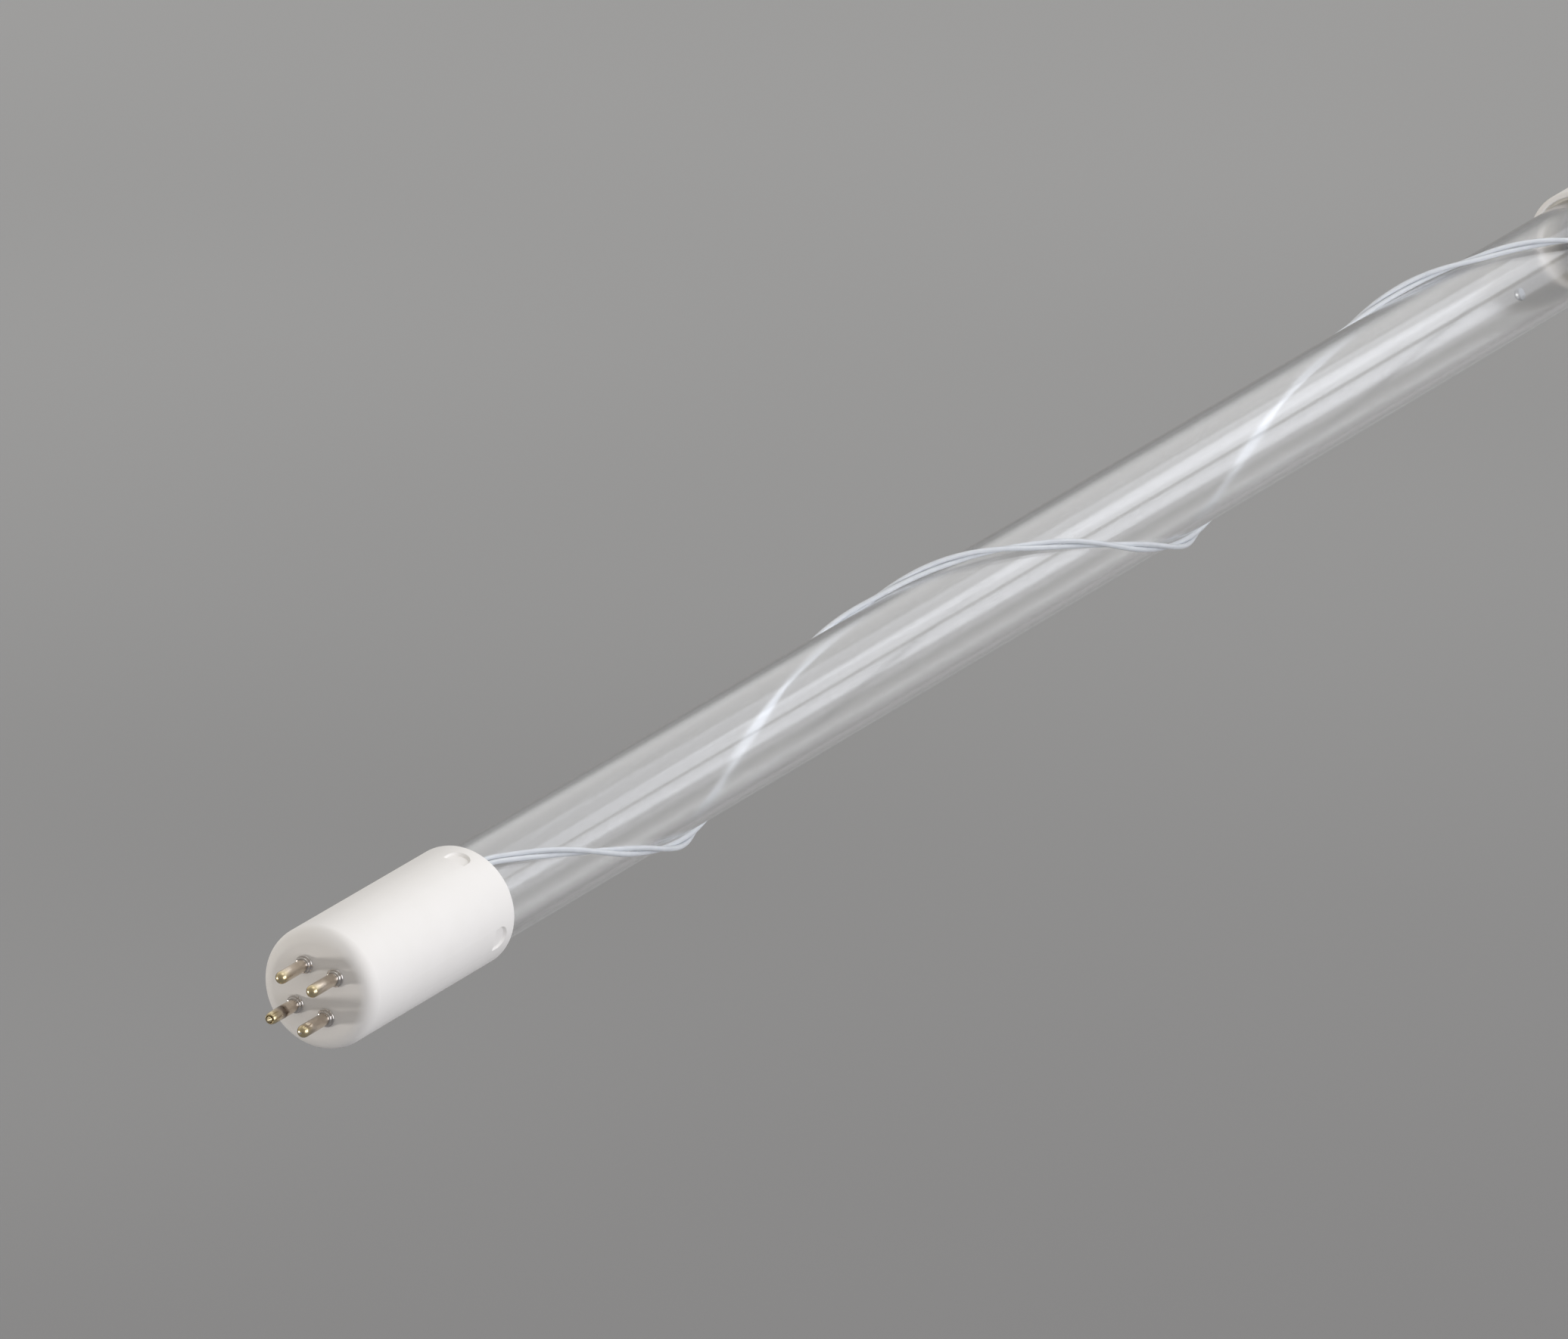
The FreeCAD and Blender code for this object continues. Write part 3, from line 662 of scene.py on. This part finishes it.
wireBead = [(-8.3, 0.24), (-8.7, 0.3), (-8.95, 0.48), (-9.15, 0.56), (-9.35, 0.54), (-9.5, 0.42),
            (-9.62, 0.3), (-9.85, 0.17), (-10.05, 0.06), (-10.09, 0.02)]
tipDent = dict(ball=1.6, station=-7.3, reach=2.3, angle=118.0)


def roundTip():
    # a half ball at the end of the pin, down to a tiny flat
    centre = pins["radius"] - pins["length"]
    profile = [(centre, pins["radius"])]
    for step in range(1, pins["tipSteps"]):
        turn = math.pi / 2 * step / pins["tipSteps"]
        profile.append((centre - pins["radius"] * math.sin(turn),
                        pins["radius"] * math.cos(turn)))
    return profile + [(-pins["length"], pins["tipFlat"])]


def dentTip(pin):
    # a shallow hollow in the side of the tip, as a ball would press it
    deselectAll()
    turn = math.radians(tipDent["angle"])
    bpy.ops.mesh.primitive_uv_sphere_add(segments=64, ring_count=32, radius=tipDent["ball"] * mm,
                                         location=(tipDent["station"] * mm,
                                                   tipDent["reach"] * math.cos(turn) * mm,
                                                   tipDent["reach"] * math.sin(turn) * mm))
    ball = bpy.context.object
    applyPlace(ball)
    cut(pin, ball)


def makePins():
    closedPin = turned(pinFoot + roundTip(), pins["sides"])
    closedTwin = copyOf(closedPin)
    openPin = turned(pinFoot + openTip, pins["sides"])
    dentedPin = copyOf(closedPin)
    dentTip(dentedPin)
    made = (closedPin, closedTwin, openPin, dentedPin)
    for number, (pin, corner) in enumerate(zip(made, pinCorners), 1):
        moveTo(pin, pinPlace(*corner))
        finishPiece(pin, "contactPin%d" % number, pinPlateBanded if pin == openPin else pinPlate,
                    ["contact_pin_%d" % number], pins["smoothAngle"])
    bead = turned(wireBead, pins["beadSides"])        # the wire that stands out of the open pin
    moveTo(bead, pinPlace(*pinCorners[made.index(openPin)]))
    finishPiece(bead, "wireEndBead", pinPlate, [], pins["beadSmoothAngle"])


makePins()
print("pins made")

# floor, lamps and the white room round them; floorLevel is in millimetres and floorSize in
# metres, and across says how fast the floor's painted light turns it from dark to pale in each
# metre
stage = dict(floorLevel=-460.0, floorSize=80.0, floorDark="#8F8F90", floorPale="#B9BABB",
             across=(0.2233, 0.2114, 0.0), darkAt=0.2, paleAt=0.75, cloudWidth=454.55, cloud=0.12)
softboxes = {
    # place, target, size, strength, colour, roll: lengths in metres, and a strength of 1 is white
    "back": ((2.36, -0.375, 1.4), (2.0, -0.375, 1.4), (0.95, 1.0), 0.85, "#F4F7FF", 0.0),
    "bandAbove": ((2.35, -0.814, 1.101), (2.0, -0.814, 1.101), (1.0, 0.7), 1.3, "#F4F7FF", -35.2),
    "bandBelow": ((2.35, -1.287, 0.431), (2.0, -1.287, 0.431), (1.0, 0.62), 0.9, "#F4F7FF", -35.2),
    "side": ((-0.15, -2.7, 0.47), (0.1, 0.0, 0.0), (3.0, 1.8), 2.65, "#F8F9FF", 0.0),
    "above": ((0.1, -0.5, 2.3), (0.1, 0.0, 0.0), (1.5, 1.5), 0.8, "#FFFFFF", 0.0),
    "pins": ((-1.0, 1.5, -0.24), (0.0, 0.0, 0.0), (0.22, 0.22), 68.0, "#FFFAF4", 0.0),
    "under": ((1.05, 0.2, -0.42), (1.05, 0.2, 1.0), (0.8, 0.5), 0.17, "#FFFFFF", 0.0),
}
# the room is dim behind the camera and low down, and white behind the lamp and higher up; turn
# and height are the X and Z of a direction between which it changes
room = dict(behindCamera=0.33, behindLamp=1.0, warm="#FFF8EE", white="#FFFFFF",
            turn=(-0.9, 0.9), height=(0.14, 0.42))


def makeFloor():
    deselectAll()
    bpy.ops.mesh.primitive_plane_add(size=stage["floorSize"],
                                     location=(0, 0, stage["floorLevel"] * mm))
    floor = bpy.context.object
    floor.name = "floor"
    # matt grey paper, cloudy every 0.45 m, with painted light: paler towards the back
    material, tree, output, place = newMaterial("matt grey paper")
    cloud = addNode(tree, "ShaderNodeTexNoise",
                    inputs={"Vector": place, "Scale": scaleFor(stage["cloudWidth"]), "Detail": 1.0})
    along = addNode(tree, "ShaderNodeVectorMath", {"operation": "DOT_PRODUCT"},
                    {0: place, 1: stage["across"]})
    shifted = addNode(tree, "ShaderNodeMath", {"operation": "MULTIPLY_ADD"},
                      {0: cloud.outputs["Fac"], 1: stage["cloud"], 2: along.outputs["Value"]})
    # painted light: the paper's colour turns from dark to pale towards the back
    back = addNode(tree, "ShaderNodeMapRange", softly,
                   {"Value": shifted.outputs[0], "From Min": stage["darkAt"] + stage["cloud"] / 2,
                    "From Max": stage["paleAt"] + stage["cloud"] / 2})
    tint = addNode(tree, "ShaderNodeMix", colours,
                   {0: back.outputs[0], 6: hexColor(stage["floorDark"]),
                    7: hexColor(stage["floorPale"])})
    shader = addNode(tree, "ShaderNodeBsdfPrincipled",
                     inputs={"Base Color": tint.outputs[2], "Roughness": 0.95,
                             "Specular IOR Level": 0.1})
    tree.links.new(shader.outputs[0], output.inputs["Surface"])
    floor.data.materials.append(material)
    deselectAll()


def makeSoftbox(name, place, target, size, strength, colour, roll):
    data = bpy.data.lights.new(name, "AREA")
    data.shape = "RECTANGLE"
    data.size, data.size_y = size
    data.energy = strength * math.pi * size[0] * size[1]
    data.color = hexColor(colour)[:3]
    softbox = bpy.data.objects.new(name, data)
    softbox.rotation_mode = "QUATERNION"
    facing = (Vector(target) - Vector(place)).to_track_quat("-Z", "Y")
    softbox.rotation_quaternion = facing @ Quaternion((0, 0, 1), math.radians(roll))
    softbox.location = place
    softbox.visible_camera = False
    bpy.context.scene.collection.objects.link(softbox)


def makeRoom():
    world = bpy.data.worlds.new("white room")
    bpy.context.scene.world = world
    world.use_nodes = True
    tree = world.node_tree
    tree.nodes.clear()
    coords = addNode(tree, "ShaderNodeTexCoord")
    along = addNode(tree, "ShaderNodeSeparateXYZ", inputs={"Vector": coords.outputs["Generated"]})
    ahead = addNode(tree, "ShaderNodeMapRange", softly,
                    {"Value": along.outputs["X"], "From Min": room["turn"][0],
                     "From Max": room["turn"][1]})
    above = addNode(tree, "ShaderNodeMapRange", softly,
                    {"Value": along.outputs["Z"], "From Min": room["height"][0],
                     "From Max": room["height"][1]})
    both = addNode(tree, "ShaderNodeMath", {"operation": "MULTIPLY"},
                   {0: ahead.outputs[0], 1: above.outputs[0]})
    level = addNode(tree, "ShaderNodeMapRange",
                    inputs={"Value": both.outputs[0], "To Min": room["behindCamera"],
                            "To Max": room["behindLamp"]})
    tint = addNode(tree, "ShaderNodeMix", colours,
                   {0: ahead.outputs[0], 6: hexColor(room["warm"]), 7: hexColor(room["white"])})
    glow = addNode(tree, "ShaderNodeBackground",
                   inputs={"Color": tint.outputs[2], "Strength": level.outputs[0]})
    output = addNode(tree, "ShaderNodeOutputWorld")
    tree.links.new(glow.outputs[0], output.inputs["Surface"])


makeFloor()
makeRoom()
for name, settings in softboxes.items():
    makeSoftbox(name, *settings)
print("floor and lamps made")

bpy.context.scene.view_settings.view_transform = "Standard"
